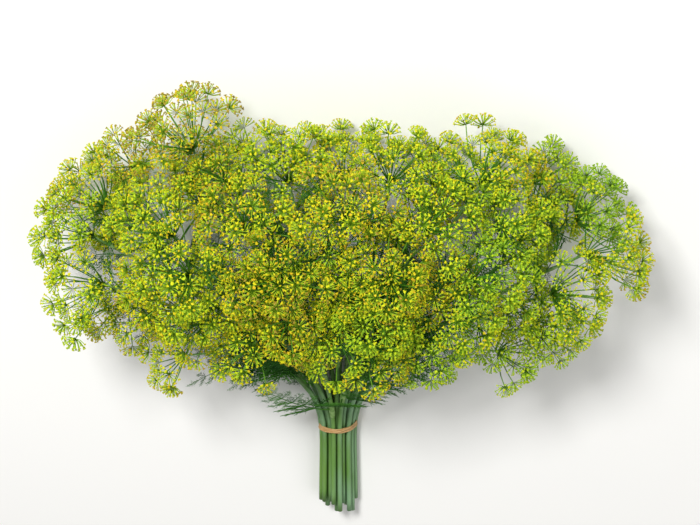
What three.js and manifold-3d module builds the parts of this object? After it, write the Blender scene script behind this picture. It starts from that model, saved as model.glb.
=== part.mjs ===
// A tied bunch of flowering dill (Anethum graveolens), cut and laid on its side.
// Each stem ends in a compound umbel: rays spread from a hub, and each carries an umbellet of florets.
// Millimetres, +Z up. The stems run along +Y from cut ends to heads, and the bunch rests on z = 0.
import * as THREE from "three";
import Module from "manifold-3d";

const wasm = await Module();
wasm.setup();

// ---- driving dimensions
const SEED = 3;
const CLEAR = 0.5; // kept between one plant part and the next
const NEST = 0.3; // gap between a stem's tip and the hub that sits on it

const STEM = { foot: 3.5, tip: 1.5, taper: 1.4, sides: 5, bends: 6, gap: 0.6, leave: 0.2, arrive: 0.3 };
const CUT = { length: 125, uneven: 12, splay: 0.1 }; // from the tie down to the cut ends
const TIE = { width: 10, thickness: 1.6, slack: 0.5, straight: 7, facet: 12 };
// How much of a head's place shows in its stem's place in the tie, and how the stems are pressed
// together there.
const PACKING = { across: 0.07, up: 0.16, rounds: 500, pulled: 400, pull: 0.985, passes: 4 };
const BRANCH = { foot: 1.9, tip: 1.2, sides: 4, bends: 4, rise: 70 };
const BRANCH_CURVE = { leave: 0.35, swing: 0.12, arrive: 0.25 };

// Rows of heads across the bunch: where their hubs are, and which way they face in degrees, from 0 along
// the stems to 90 straight up. The ends of a row fall back, lie lower and face sideways.
const ROWS = [
  { y: 346, z: 46, facing: 0, heads: 5, halfWidth: 230 },
  { y: 372, z: 108, facing: 20, heads: 6, halfWidth: 280 },
  { y: 348, z: 164, facing: 46, heads: 7, halfWidth: 285 },
  { y: 300, z: 194, facing: 70, heads: 6, halfWidth: 262 },
];
// Side heads, on branches of the last row's stems.
const SIDE_ROWS = [
  { y: 254, z: 196, facing: 82, heads: 6, halfWidth: 232 },
  { y: 202, z: 172, facing: 92, heads: 5, halfWidth: 192 },
];
const ROW_END = { fallBack: { left: 30, right: 48 }, lower: 0.3, curve: 4, sideways: 62, turning: 1.5 };
const ROW_STRAY = { across: 11, up: 6.6, turn: 6 };
const TALL_HEAD = { index: 6, by: 44 }; // one head stands out above the rest

// A hub has 20 facets, and the ones nearest its top are drawn out into rays, the outer ones longest.
const UMBEL = { hub: 2.5, ownFacing: 2, opening: 0.63, outerLonger: 0.13 };
const MAIN_RAYS = { count: 13, length: [62, 76] };
const SIDE_RAYS = { count: 9, length: [44, 54] };
const RAY = { foot: 1.5, footFrom: 0.04, footTo: 0.4, stalk: 1.25, neck: 0.78 };
// How far a ray's lean, turn and length stray at the first try and at the last.
const RAY_STRAY = { lean: [0.05, 0.35], turn: [0.08, 0.48], length: [-0.45, 0.05] };
// Three rings of three florets on a small core, at these angles from the ray, in degrees.
const UMBELLET = { reach: 16.5, shrink: 0.28, core: 3.8, polar: [20, 54, 80], uneven: 2.5, sink: 0.84 };
const CORE_HEIGHTS = { neck: -0.6, rim: 0.4, top: 0.9 }; // shares of the core's radius
const FLORET_STRAY = { polar: 7, turn: 0.2 };
// A frond's zones each hold two pairs of thread-like pinnae, which point this far forward and out.
const FROND = { length: [110, 165], root: 1.5, tip: 0.9, bend: 0.55, droop: 0.2 };
const FROND_WAY = { forward: 0.75, uneven: 0.3 };
const ZONES = { count: 5, first: 0.3, length: 4, pinna: 0.36, narrows: [1.15, 0.4] };
const PINNAE = [
  { forward: 0.35, out: 0.93 },
  { forward: 0.55, out: 0.38 },
];
const FROND_STRAY = { turn: [0.4, 2.8], shorter: 0.5 };
const FROND_AT = { lowest: 0.32, step: 0.045, steps: 5 }; // shares of the stem's length
const TRIES = 90; // to find a clear place, each straying further than the last
const GROUND = { wide: 2000, deep: 100 };
const WELD_DIGITS = 4; // corners that agree to this many decimals are one corner
const TINY = 1e-9;

const matt = (color, roughness) => new THREE.MeshStandardMaterial({ color, roughness, metalness: 0 });
const leafGreen = matt("#3f6b3a", 0.6);
const bloomYellow = matt("#b9c42b", 0.65);
const bandTan = matt("#c9a36a", 0.55);

// ---- directions and seeded draws
const { lerp, degToRad } = THREE.MathUtils;
const vec = (a) => new THREE.Vector3(...a);
const ALONG = vec([0, 1, 0]);
const UP = vec([0, 0, 1]);
const twoDigits = (n) => String(n).padStart(2, "0");
const added = (points) => points.reduce((total, p) => total.add(p), vec([0, 0, 0]));
const mean = (points) => added(points).divideScalar(points.length);

function seeded(seed) {
  let state = seed >>> 0;
  return () => {
    state = (state + 0x6d2b79f5) >>> 0;
    let t = Math.imul(state ^ (state >>> 15), state | 1);
    t = (t + Math.imul(t ^ (t >>> 7), t | 61)) ^ t;
    return ((t ^ (t >>> 14)) >>> 0) / 4294967296;
  };
}
const random = seeded(SEED);
const jitter = (size) => (random() * 2 - 1) * size;

// The part of a direction that is square to an axis, made a unit long.
const squareTo = (axis, way) => way.clone().addScaledVector(axis, -way.dot(axis)).normalize();

// The direction at a polar angle from an axis, on the side of a direction square to it.
function leaning(axis, side, polar, turn = 0) {
  const sideways = side.clone().applyAxisAngle(axis, turn);
  return axis.clone().multiplyScalar(Math.cos(polar)).addScaledVector(sideways, Math.sin(polar));
}

// The point at a share of a broken line's length, and the heading there.
function alongLine(points, share) {
  const lengths = points.slice(1).map((p, i) => p.distanceTo(points[i]));
  let left = share * lengths.reduce((sum, l) => sum + l, 0);
  const i = lengths.findIndex((l) => (left -= l) <= 0);
  const heading = points[i + 1].clone().sub(points[i]).normalize();
  return { point: points[i + 1].clone().addScaledVector(heading, left), heading };
}

// ---- what already stands, as capsules, so that later growth bends clear of it
const standing = [];
const capsule = (a, b, radius, node) => ({ a, b, radius, node });
const capsules = (points, radii, node) =>
  points.slice(1).map((end, i) => capsule(points[i], end, radii[i], node));

function segmentGap(p, q) {
  const clamp = (x) => Math.min(1, Math.max(0, x));
  const d1 = p.b.clone().sub(p.a);
  const d2 = q.b.clone().sub(q.a);
  const r = p.a.clone().sub(q.a);
  const [a, b, c, e, f] = [d1.dot(d1), d1.dot(d2), d1.dot(r), d2.dot(d2), d2.dot(r)];
  const skew = a * e - b * b;
  let s = skew > TINY ? clamp((b * f - c * e) / skew) : 0;
  let t = e > TINY ? (b * s + f) / e : 0;
  if (t < 0 || t > 1) {
    t = clamp(t);
    s = a > TINY ? clamp((b * t - c) / a) : 0;
  }
  return r.addScaledVector(d1, s).addScaledVector(d2, -t).length();
}

const touches = (p, q, gap) => segmentGap(p, q) < p.radius + q.radius + gap;
const meetsStanding = (c) => standing.some((p) => p.node !== c.node && touches(c, p, CLEAR));
const isClear = (trial) => !trial.some(meetsStanding);

// ---- heads: where each hub is and which way it faces
function placeRow({ y, z, facing, heads, halfWidth }, rays) {
  return Array.from({ length: heads }, (_, k) => {
    const s = (2 * k) / (heads - 1) - 1;
    const fall = s ** ROW_END.curve;
    const turned = ROW_END.sideways * Math.sign(s) * Math.abs(s) ** ROW_END.turning;
    const sideways = degToRad(turned + jitter(ROW_STRAY.turn));
    const up = degToRad(facing + jitter(ROW_STRAY.turn));
    const ahead = Math.cos(sideways);
    const face = vec([Math.sin(sideways), ahead * Math.cos(up), ahead * Math.sin(up)]);
    const back = fall * (s < 0 ? ROW_END.fallBack.left : ROW_END.fallBack.right);
    const hub = vec([s * halfWidth, y - back, z * (1 - ROW_END.lower * fall)]);
    hub.add(vec([jitter(ROW_STRAY.across), jitter(ROW_STRAY.across), jitter(ROW_STRAY.up)]));
    return { hub, face, rays: rays.count, ray: lerp(...rays.length, random()) };
  });
}

// ---- stems: packed side by side where they are tied, then fanning out to their heads
function packAtTie(hubs) {
  const pitch = STEM.foot * 2 + STEM.gap;
  const floor = STEM.foot + TIE.slack + TIE.thickness;
  const spots = hubs.map((hub) => ({ x: hub.x * PACKING.across, z: floor + hub.z * PACKING.up }));
  const pushApart = (p, q) => {
    const [dx, dz] = [q.x - p.x, q.z - p.z];
    const apart = Math.hypot(dx, dz);
    const push = Math.max(0, pitch - apart) / 2 / apart;
    p.x -= dx * push;
    p.z = Math.max(floor, p.z - dz * push);
    q.x += dx * push;
    q.z = Math.max(floor, q.z + dz * push);
  };
  for (let round = 0; round < PACKING.rounds; round++) {
    const pull = round < PACKING.pulled ? PACKING.pull : 1;
    for (const spot of spots) {
      spot.x *= pull;
      spot.z = lerp(floor, spot.z, pull);
    }
    for (let pass = 0; pass < PACKING.passes; pass++) {
      spots.forEach((p, i) => spots.slice(i + 1).forEach((q) => pushApart(p, q)));
    }
  }
  return spots;
}

function growStem(head, spot, middle, index) {
  const splayed = middle + (spot.z - middle) * (1 + CUT.splay);
  const cut = vec([spot.x * (1 + CUT.splay), jitter(CUT.uneven) - CUT.length, Math.max(spot.z, splayed)]);
  const under = vec([spot.x, -TIE.straight, spot.z]);
  const over = vec([spot.x, TIE.straight, spot.z]);
  const chord = head.hub.clone().sub(over);
  const span = chord.length();
  const end = chord.normalize().add(head.face).normalize();
  head.axis = head.face.clone().multiplyScalar(UMBEL.ownFacing).add(end).normalize();
  const tip = head.hub.clone().addScaledVector(end, -(UMBEL.hub + NEST));
  const leave = over.clone().addScaledVector(ALONG, span * STEM.leave);
  const arrive = tip.clone().addScaledVector(end, -span * STEM.arrive);
  const rising = new THREE.CubicBezierCurve3(over, leave, arrive, tip).getPoints(STEM.bends);
  const points = [cut, under, ...rising];
  const taper = (i) => (Math.max(0, i - 1) / (points.length - 2)) ** STEM.taper;
  const radii = points.map((_, i) => lerp(STEM.foot, STEM.tip, taper(i)));
  const name = `stem_${twoDigits(index + 1)}`;
  standing.push(...capsules(points, radii, name));
  return { name, points, parts: [tube(points, radii, STEM.sides)] };
}

// A branch leaves the nearest of some stems, a little way down from the head that it carries.
function growBranch(head, carriers) {
  head.axis = head.face;
  const level = head.hub.y - BRANCH.rise;
  const roots = carriers.map((stem) => {
    const above = stem.points.findIndex((p) => p.y > level);
    const [a, b] = [stem.points[above - 1], stem.points[above]];
    return { stem, root: a.clone().lerp(b, (level - a.y) / (b.y - a.y)) };
  });
  const away = ({ root }) => root.distanceTo(head.hub);
  const { stem, root } = roots.sort((p, q) => away(p) - away(q))[0];
  const tip = head.hub.clone().addScaledVector(head.axis, -(UMBEL.hub + NEST));
  const span = root.distanceTo(tip);
  const leave = root.clone().lerp(tip, BRANCH_CURVE.leave);
  leave.addScaledVector(ALONG, span * BRANCH_CURVE.swing);
  const arrive = tip.clone().addScaledVector(head.axis, -span * BRANCH_CURVE.arrive);
  const points = new THREE.CubicBezierCurve3(root, leave, arrive, tip).getPoints(BRANCH.bends);
  const radii = points.map((_, i) => lerp(BRANCH.foot, BRANCH.tip, i / BRANCH.bends));
  standing.push(...capsules(points, radii, stem.name));
  stem.parts.push(tube(points, radii, BRANCH.sides));
}

// ---- umbels: rays drawn out of the hub's facets, each bent clear of what stands near
function hubFacets(umbel) {
  const shape = new THREE.IcosahedronGeometry(UMBEL.hub);
  const corners = shape.attributes.position;
  const top = new THREE.Vector3().fromBufferAttribute(corners, 0).normalize();
  const turn = new THREE.Quaternion().setFromAxisAngle(umbel.axis, umbel.turn);
  shape.applyQuaternion(turn.multiply(new THREE.Quaternion().setFromUnitVectors(top, umbel.axis)));
  shape.translate(...umbel.hub.toArray());
  const facets = cornersOf(shape).map((points) => {
    const outward = mean(points).sub(umbel.hub).normalize();
    return { points, outward, polar: outward.angleTo(umbel.axis) };
  });
  return facets.sort((p, q) => p.polar - q.polar);
}

function placeRay(umbel, facet) {
  const side = squareTo(umbel.axis, facet.outward);
  const grown = umbel.facets.filter((other) => other.tip);
  for (let attempt = 0; attempt < TRIES; attempt++) {
    const stray = attempt / TRIES;
    const reach = UMBELLET.reach * (1 - UMBELLET.shrink * stray);
    const lean = Math.abs(facet.polar * UMBEL.opening + jitter(lerp(...RAY_STRAY.lean, stray)));
    const way = leaning(umbel.axis, side, lean, jitter(lerp(...RAY_STRAY.turn, stray)));
    const outer = 1 - UMBEL.outerLonger * (1 - lean ** 2);
    const length = umbel.ray * outer * (1 + stray * lerp(...RAY_STRAY.length, random()));
    const tip = umbel.hub.clone().addScaledVector(way, length);
    tip.z = Math.max(tip.z, reach * UMBELLET.sink);
    const along = (share) => mean(facet.points).lerp(tip, share);
    const foot = capsule(along(RAY.footFrom), along(RAY.footTo), RAY.foot, umbel.name);
    const stalk = capsule(along(RAY.footTo), tip, RAY.stalk, umbel.name);
    const head = capsule(tip, tip, reach, umbel.name);
    const meets = (other) =>
      touches(head, other.head, 0) || touches(stalk, other.head, 0) || touches(head, other.stalk, 0) ||
      touches(stalk, other.stalk, 0);
    if (!grown.some(meets) && isClear([head, stalk, foot])) {
      standing.push(head, stalk, foot);
      Object.assign(facet, { tip, reach, head, stalk });
      return;
    }
  }
}

// ---- fronds: a rachis with pairs of thread-like pinnae, held clear of other stems
function growFrond(stem, at, middle) {
  const { point: root, heading } = alongLine(stem.points, at);
  const outward = root.clone().setY(0).sub(vec([0, 0, middle])).normalize();
  const length = lerp(...FROND.length, random());
  for (let attempt = 0; attempt < TRIES; attempt++) {
    const stray = attempt / TRIES;
    const side = outward.clone().applyAxisAngle(heading, jitter(lerp(...FROND_STRAY.turn, stray)));
    const forwards = FROND_WAY.forward + jitter(FROND_WAY.uneven);
    const way = heading.clone().multiplyScalar(forwards).add(side).normalize();
    const reach = length * (1 - stray * FROND_STRAY.shorter);
    const bend = root.clone().addScaledVector(way, reach * FROND.bend);
    const tip = root.clone().addScaledVector(way, reach);
    tip.z -= reach * FROND.droop;
    const rachis = new THREE.QuadraticBezierCurve3(root, bend, tip);
    const flat = new THREE.Vector3().crossVectors(way, side.clone().add(UP)).normalize();
    const points = [root];
    const ends = [];
    for (let zone = 0; zone < ZONES.count; zone++) {
      const share = lerp(ZONES.first, 1, zone / (ZONES.count - 1));
      const ring = rachis.getPoint(share);
      const forward = rachis.getTangent(share);
      points.push(ring.clone().addScaledVector(forward, -ZONES.length), ring);
      const size = reach * ZONES.pinna * lerp(...ZONES.narrows, share);
      for (const hand of [1, -1]) {
        for (const pinna of PINNAE) {
          const end = ring.clone().addScaledVector(forward, size * pinna.forward);
          ends.push(end.addScaledVector(flat, hand * size * pinna.out));
        }
      }
    }
    const radii = points.map((_, i) => lerp(FROND.root, FROND.tip, i / (points.length - 1)));
    const ringOf = (i) => points[2 + 2 * Math.floor(i / PINNAE.length / 2)];
    const threads = ends.map((end, i) => capsule(ringOf(i), end, FROND.root, stem.name));
    const trial = [...capsules(points, radii, stem.name), ...threads];
    if (trial.every((c) => c.b.z > FROND.root) && isClear(trial)) {
      standing.push(...trial);
      stem.parts.push(frond(points, radii, flat, ends));
      return;
    }
  }
}

// ---- shapes, as lists of faces with three corners each
function cornersOf(geometry) {
  const soup = geometry.index ? geometry.toNonIndexed() : geometry;
  const position = soup.attributes.position;
  const corner = (i) => new THREE.Vector3().fromBufferAttribute(position, i);
  const face = (i) => [corner(3 * i), corner(3 * i + 1), corner(3 * i + 2)];
  return Array.from({ length: position.count / 3 }, (_, i) => face(i));
}

function solid(faces) {
  const known = new Map();
  const vertProperties = [];
  const triVerts = faces.flat().map((p) => {
    const key = p.toArray().map((n) => n.toFixed(WELD_DIGITS)).join();
    if (!known.has(key)) {
      known.set(key, known.size);
      vertProperties.push(...p.toArray());
    }
    return known.get(key);
  });
  const mesh = new wasm.Mesh({
    numProp: 3,
    vertProperties: Float32Array.from(vertProperties),
    triVerts: Uint32Array.from(triVerts),
  });
  return new wasm.Manifold(mesh);
}

// The rings of a tube along a broken line, their first corner towards a side.
function rings(points, radii, sides, towards) {
  let side = towards;
  return points.map((p, i) => {
    const next = points[Math.min(i + 1, points.length - 1)];
    const heading = next.clone().sub(points[Math.max(i - 1, 0)]).normalize();
    side = squareTo(heading, side);
    const spoke = (k) => side.clone().applyAxisAngle(heading, (k * 2 * Math.PI) / sides);
    return Array.from({ length: sides }, (_, k) => p.clone().addScaledVector(spoke(k), radii[i]));
  });
}

// The faces between two rings, a pair for each side, and those that close a ring.
function between(low, high) {
  return low.flatMap((p, k) => {
    const next = (k + 1) % low.length;
    return [
      [p, low[next], high[next]],
      [p, high[next], high[k]],
    ];
  });
}
const fan = (ring) => ring.slice(2).map((p, i) => [ring[0], ring[i + 1], p]);
const caps = (around) => [...fan([...around[0]].reverse()), ...fan(around.at(-1))];
const drawnOut = ([a, b, c], apex) => [[a, b, apex], [b, c, apex], [c, a, apex]];

function tube(points, radii, sides) {
  const around = rings(points, radii, sides, vec([1, 0, 0]));
  const skin = around.slice(1).flatMap((ring, i) => between(around[i], ring));
  return solid([...skin, ...caps(around)]);
}

// A frond's rachis has three sides. In each zone, both faces of both flanks are drawn out into pinnae.
function frond(points, radii, flat, ends) {
  const back = new THREE.Vector3().crossVectors(flat, points[1].clone().sub(points[0]));
  const around = rings(points, radii, 3, back);
  const skin = around.slice(1).flatMap((ring, i) => {
    const [left, leftTip, under, underTip, right, rightTip] = between(around[i], ring);
    if (i % 2 === 0) return [left, leftTip, under, underTip, right, rightTip];
    const zone = ends.slice(2 * (i - 1), 2 * (i + 1));
    const flanks = [left, leftTip, right, rightTip].flatMap((face, k) => drawnOut(face, zone[k]));
    return [...flanks, under, underTip];
  });
  return solid([...skin, ...caps(around)]);
}

// A ray with its umbellet, drawn out of a facet of the hub. Each face of its head becomes a floret.
function rayWithUmbellet(hub, { points, tip, reach }) {
  const way = tip.clone().sub(hub).normalize();
  const { core, polar, uneven } = UMBELLET;
  const above = (height) => tip.clone().addScaledVector(way, height);
  const at = (height, side, radius) => above(height).addScaledVector(side, radius);
  const spokes = points.map((p) => squareTo(way, p.clone().sub(mean(points))));
  const halfway = spokes.map((spoke, k) => spoke.clone().add(spokes[(k + 1) % 3]).normalize());
  const neck = spokes.map((spoke) => at(core * CORE_HEIGHTS.neck, spoke, RAY.neck));
  const rim = halfway.map((spoke) => at(core * CORE_HEIGHTS.rim, spoke, core));
  const top = above(core * CORE_HEIGHTS.top);
  const floret = (spoke, degrees) => {
    const polarAngle = degToRad(degrees + jitter(FLORET_STRAY.polar));
    const direction = leaning(way, spoke, polarAngle, jitter(FLORET_STRAY.turn));
    return tip.clone().addScaledVector(direction, reach - random() * uneven);
  };
  const head = [0, 1, 2].flatMap((k) => {
    const next = (k + 1) % 3;
    return [
      ...drawnOut([neck[k], neck[next], rim[k]], floret(halfway[k], polar[2])),
      ...drawnOut([neck[next], rim[next], rim[k]], floret(spokes[next], polar[1])),
      ...drawnOut([rim[k], rim[next], top], floret(spokes[next], polar[0])),
    ];
  });
  return [...between(points, neck), ...head];
}

// The tie: a band stretched round the stems, flat where they press it on the floor.
function band(spots) {
  const outline = (offset) =>
    Array.from({ length: 360 / TIE.facet }, (_, step) => {
      const round = degToRad(step * TIE.facet);
      const way = new THREE.Vector2(Math.cos(round), Math.sin(round));
      const reach = (spot) => spot.x * way.x + spot.z * way.y;
      const outermost = spots.reduce((far, spot) => (reach(spot) > reach(far) ? spot : far));
      const corner = (STEM.foot + offset) / Math.cos(degToRad(TIE.facet / 2));
      return new THREE.Vector2(outermost.x, outermost.z).addScaledVector(way, corner);
    });
  const shape = new THREE.Shape(outline(TIE.slack + TIE.thickness));
  shape.holes.push(new THREE.Path(outline(TIE.slack)));
  const geometry = new THREE.ExtrudeGeometry(shape, { depth: TIE.width, bevelEnabled: false });
  return solid(cornersOf(geometry.rotateX(Math.PI / 2).translate(0, TIE.width / 2, 0)));
}

// ---- the bunch
const heads = ROWS.flatMap((row) => placeRow(row, MAIN_RAYS));
heads[TALL_HEAD.index].hub.y += TALL_HEAD.by;
const sideHeads = SIDE_ROWS.flatMap((row) => placeRow(row, SIDE_RAYS));
const spots = packAtTie(heads.map((head) => head.hub));
const middle = spots.reduce((sum, spot) => sum + spot.z, 0) / spots.length;
const stems = heads.map((head, i) => growStem(head, spots[i], middle, i));
for (const head of sideHeads) growBranch(head, stems.slice(-ROWS.at(-1).heads));

const umbels = [...heads, ...sideHeads];
umbels.forEach((umbel, i) => {
  umbel.name = `umbel_${twoDigits(i + 1)}`;
  umbel.turn = random() * 2 * Math.PI;
  umbel.facets = hubFacets(umbel);
  standing.push(capsule(umbel.hub, umbel.hub, UMBEL.hub, umbel.name));
});
for (let k = 0; k < MAIN_RAYS.count; k++) {
  for (const umbel of umbels) {
    if (k < umbel.rays) placeRay(umbel, umbel.facets[k]);
  }
}
stems.forEach((stem, i) => {
  growFrond(stem, FROND_AT.lowest + FROND_AT.step * (i % FROND_AT.steps), middle);
});

const bunch = new THREE.Group();
const slab = new THREE.BoxGeometry(GROUND.wide, GROUND.wide, GROUND.deep);
const ground = solid(cornersOf(slab.translate(0, 0, -GROUND.deep / 2)));

function addNode(name, whole, material) {
  const trimmed = whole.subtract(ground).decompose().sort((a, b) => b.volume() - a.volume())[0];
  const { vertProperties, triVerts } = trimmed.getMesh();
  const geometry = new THREE.BufferGeometry();
  geometry.setAttribute("position", new THREE.BufferAttribute(vertProperties, 3));
  geometry.setIndex(new THREE.BufferAttribute(triVerts, 1));
  const mesh = new THREE.Mesh(geometry, material);
  mesh.name = name;
  bunch.add(mesh);
}
for (const { name, parts } of stems) addNode(name, wasm.Manifold.union(parts), leafGreen);
for (const { name, hub, facets } of umbels) {
  const faces = facets.flatMap((facet) => (facet.tip ? rayWithUmbellet(hub, facet) : [facet.points]));
  addNode(name, solid(faces), bloomYellow);
}
addNode("tie_band", band(spots), bandTan);

// The origin is under the middle of the whole bunch.
const box = new THREE.Box3().setFromObject(bunch);
bunch.position.set(-(box.min.x + box.max.x) / 2, -(box.min.y + box.max.y) / 2, 0);

export default bunch;
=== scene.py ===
import math
import random

import bmesh
import bpy
from mathutils import Matrix, Quaternion, Vector, kdtree
from mathutils.geometry import convex_hull_2d


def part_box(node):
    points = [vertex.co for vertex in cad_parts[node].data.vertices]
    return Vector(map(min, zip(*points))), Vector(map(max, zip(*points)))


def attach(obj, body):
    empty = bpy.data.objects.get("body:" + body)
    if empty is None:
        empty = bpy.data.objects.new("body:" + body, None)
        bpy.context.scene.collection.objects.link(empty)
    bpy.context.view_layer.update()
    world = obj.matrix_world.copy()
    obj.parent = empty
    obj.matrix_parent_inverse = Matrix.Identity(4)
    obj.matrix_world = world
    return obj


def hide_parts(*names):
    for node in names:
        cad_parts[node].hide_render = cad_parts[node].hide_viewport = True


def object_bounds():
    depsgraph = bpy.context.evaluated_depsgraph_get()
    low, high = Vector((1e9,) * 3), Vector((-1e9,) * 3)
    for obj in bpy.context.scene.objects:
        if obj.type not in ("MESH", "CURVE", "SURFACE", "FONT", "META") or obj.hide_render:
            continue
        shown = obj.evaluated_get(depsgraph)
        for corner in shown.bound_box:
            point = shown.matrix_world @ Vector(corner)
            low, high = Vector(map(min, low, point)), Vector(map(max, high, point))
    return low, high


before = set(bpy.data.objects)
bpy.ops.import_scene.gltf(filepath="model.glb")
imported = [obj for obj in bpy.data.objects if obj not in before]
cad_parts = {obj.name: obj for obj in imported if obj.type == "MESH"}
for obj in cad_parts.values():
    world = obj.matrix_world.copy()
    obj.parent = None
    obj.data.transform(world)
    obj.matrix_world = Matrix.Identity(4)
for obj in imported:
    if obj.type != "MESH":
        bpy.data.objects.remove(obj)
cad_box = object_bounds()

# ---- Stems and branches
# Twenty-four cut dill stems: round, hollow and finely ribbed, under a thin waxy bloom. They were cut by hand
# and gathered at the tie, from which they fan out. Each carries an umbel, and five of them branch.
MM = 0.001
UP = Vector((0, 0, 1))
TINY = 1e-9
WELD = 0.001 * MM
CUT_SNAP = 0.0001 * MM
STEM_NODES = [f"stem_{n:02d}" for n in range(1, 25)]
MAIN_UMBELS = [f"umbel_{n:02d}" for n in range(1, 25)]
SIDE_UMBELS = [f"umbel_{n:02d}" for n in range(25, 36)]
STEM_FOOT = 3.4 * MM
STEM_TIP = 1.45 * MM
STEM_TAPER = 1.6
STEM_SIDES = 24
STEM_POINTS = 30
RIB_DEPTH = 0.09
HOLLOW_WALL = 1.1 * MM
HOLLOW_DEPTH = 9 * MM
BRANCH_FOOT = 1.8 * MM
BRANCH_TIP = 1.2 * MM
BRANCH_SIDES = 10
BRANCH_POINTS = 18
BRANCH_JOINS = 2.6 * MM
TRACE_STEP = 7 * MM
TRACE_DRIFT = 2.6 * MM
TRACE_LEAST = 0.4 * MM
JUNCTION = 1.3
CLOSE_TO_HUB = 3.6 * MM
LONGEST_IN_HEAD = 22 * MM
UMBELLET_NECK = 2.3 * MM
SMOOTHINGS = 2


def merged(node):
    """A copy of a CAD node's mesh with its loose triangles joined."""
    shape = bmesh.new()
    shape.from_mesh(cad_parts[node].data)
    bmesh.ops.remove_doubles(shape, verts=shape.verts, dist=WELD)
    return shape


def middle_of(points):
    return sum(points, Vector()) / len(points)


def connected(items, next_to):
    """The groups of items that hold together, in the order in which they come."""
    left = set(items)
    groups = []
    for first in items:
        if first not in left:
            continue
        left.remove(first)
        todo = [first]
        group = []
        while todo:
            item = todo.pop()
            group.append(item)
            for other in next_to(item):
                if other in left:
                    left.remove(other)
                    todo.append(other)
        groups.append(group)
    return groups


def close_by(vert):
    return [e.other_vert(vert) for e in vert.link_edges if e.calc_length() < LONGEST_IN_HEAD]


def read_umbel(node):
    """An umbel's hub, and where each of its rays ends and how far its florets reach from there."""
    shape = merged(node)
    rays = []
    groups = connected(list(shape.verts), close_by)
    necks = [[v for v in g if any(e.calc_length() > LONGEST_IN_HEAD for e in v.link_edges)] for g in groups]
    hub_group = max(range(len(groups)), key=lambda i: sum(len(v.link_edges) for v in necks[i]))
    hub = middle_of([v.co for v in groups[hub_group]])
    for i, group in enumerate(groups):
        if i == hub_group or not necks[i]:
            continue
        neck = middle_of([v.co for v in necks[i]])
        end = neck + (neck - hub).normalized() * UMBELLET_NECK
        rays.append((end, max((v.co - end).length for v in group)))
    shape.free()
    return hub, rays


def cut_loops(shape, point, heading):
    """Where a plane cuts a solid: the middle of each loop, and its greatest radius."""
    cut = shape.copy()
    whole = cut.verts[:] + cut.edges[:] + cut.faces[:]
    made = bmesh.ops.bisect_plane(cut, geom=whole, dist=CUT_SNAP, plane_co=point, plane_no=heading)
    rim = [e for e in made["geom_cut"] if isinstance(e, bmesh.types.BMEdge)]
    loops = []
    for loop in connected(rim, lambda edge: [e for v in edge.verts for e in v.link_edges]):
        weights = [e.calc_length() for e in loop]
        middles = [(e.verts[0].co + e.verts[1].co) / 2 for e in loop]
        middle = sum((m * w for m, w in zip(middles, weights)), Vector()) / max(sum(weights), TINY)
        loops.append((middle, max((v.co - middle).length for e in loop for v in e.verts)))
    cut.free()
    return loops


def trace(shape, start, heading, widest=math.inf):
    """Follows a stalk through a solid, from cut to cut, until it ends or runs into something wider."""
    path = [start]
    radius = None
    step = TRACE_STEP
    while step > TRACE_LEAST:
        ahead = path[-1] + heading * step
        near = [loop for loop in cut_loops(shape, ahead, heading) if (loop[0] - ahead).length < TRACE_DRIFT]
        if not near:
            step /= 2
            continue
        middle, wide = min(near, key=lambda loop: (loop[0] - ahead).length)
        if wide > widest:
            break
        radius = radius or wide
        if wide < radius * JUNCTION:
            heading = (middle - path[-1]).normalized()
            radius = wide
        else:
            middle = ahead
        path.append(middle)
    return path


umbels = {node: read_umbel(node) for node in MAIN_UMBELS + SIDE_UMBELS}
shapes = {node: merged(node) for node in STEM_NODES}
stem_lines = {}
for stem, umbel in zip(STEM_NODES, MAIN_UMBELS):
    hub = umbels[umbel][0]
    tip = middle_of([v.co for v in shapes[stem].verts if (v.co - hub).length < CLOSE_TO_HUB])
    stem_lines[stem] = trace(shapes[stem], tip, (tip - hub).normalized())[::-1]

branch_lines = []
for umbel in SIDE_UMBELS:
    hub = umbels[umbel][0]
    for stem in STEM_NODES:
        close = [v.co for v in shapes[stem].verts if (v.co - hub).length < CLOSE_TO_HUB]
        if close:
            tip = middle_of(close)
            line = trace(shapes[stem], tip, (tip - hub).normalized(), BRANCH_JOINS)
            root = min(stem_lines[stem], key=lambda p: (p - line[-1]).length + max(0, p.y - line[-1].y))
            branch_lines.append((stem, [root] + line[::-1]))


def evened(line, count):
    """A line drawn again with this many points, evenly spaced, and smoothed."""
    lengths = [0.0]
    for a, b in zip(line, line[1:]):
        lengths.append(lengths[-1] + (b - a).length)
    points = []
    at = 0
    for k in range(count):
        want = lengths[-1] * k / (count - 1)
        while at < len(line) - 2 and lengths[at + 1] < want:
            at += 1
        share = (want - lengths[at]) / max(lengths[at + 1] - lengths[at], TINY)
        points.append(line[at].lerp(line[at + 1], share))
    for _ in range(SMOOTHINGS):
        inner = [(a + b * 2 + c) / 4 for a, b, c in zip(points, points[1:], points[2:])]
        points = [points[0]] + inner + [points[-1]]
    return points


def tapered(foot, tip, count):
    """This many widths, evenly from one to the other."""
    return [foot + (tip - foot) * i / (count - 1) for i in range(count)]


def places(line, widths):
    """A placing matrix at each point of a line: Z runs along it, and the scale is the width there."""
    turn = UP.rotation_difference(line[1] - line[0])
    made = []
    for i, point in enumerate(line):
        heading = line[min(i + 1, len(line) - 1)] - line[max(i - 1, 0)]
        turn = (turn @ UP).rotation_difference(heading) @ turn
        made.append(Matrix.LocRotScale(point, turn, Vector((widths[i],) * 3)))
    return made


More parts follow.
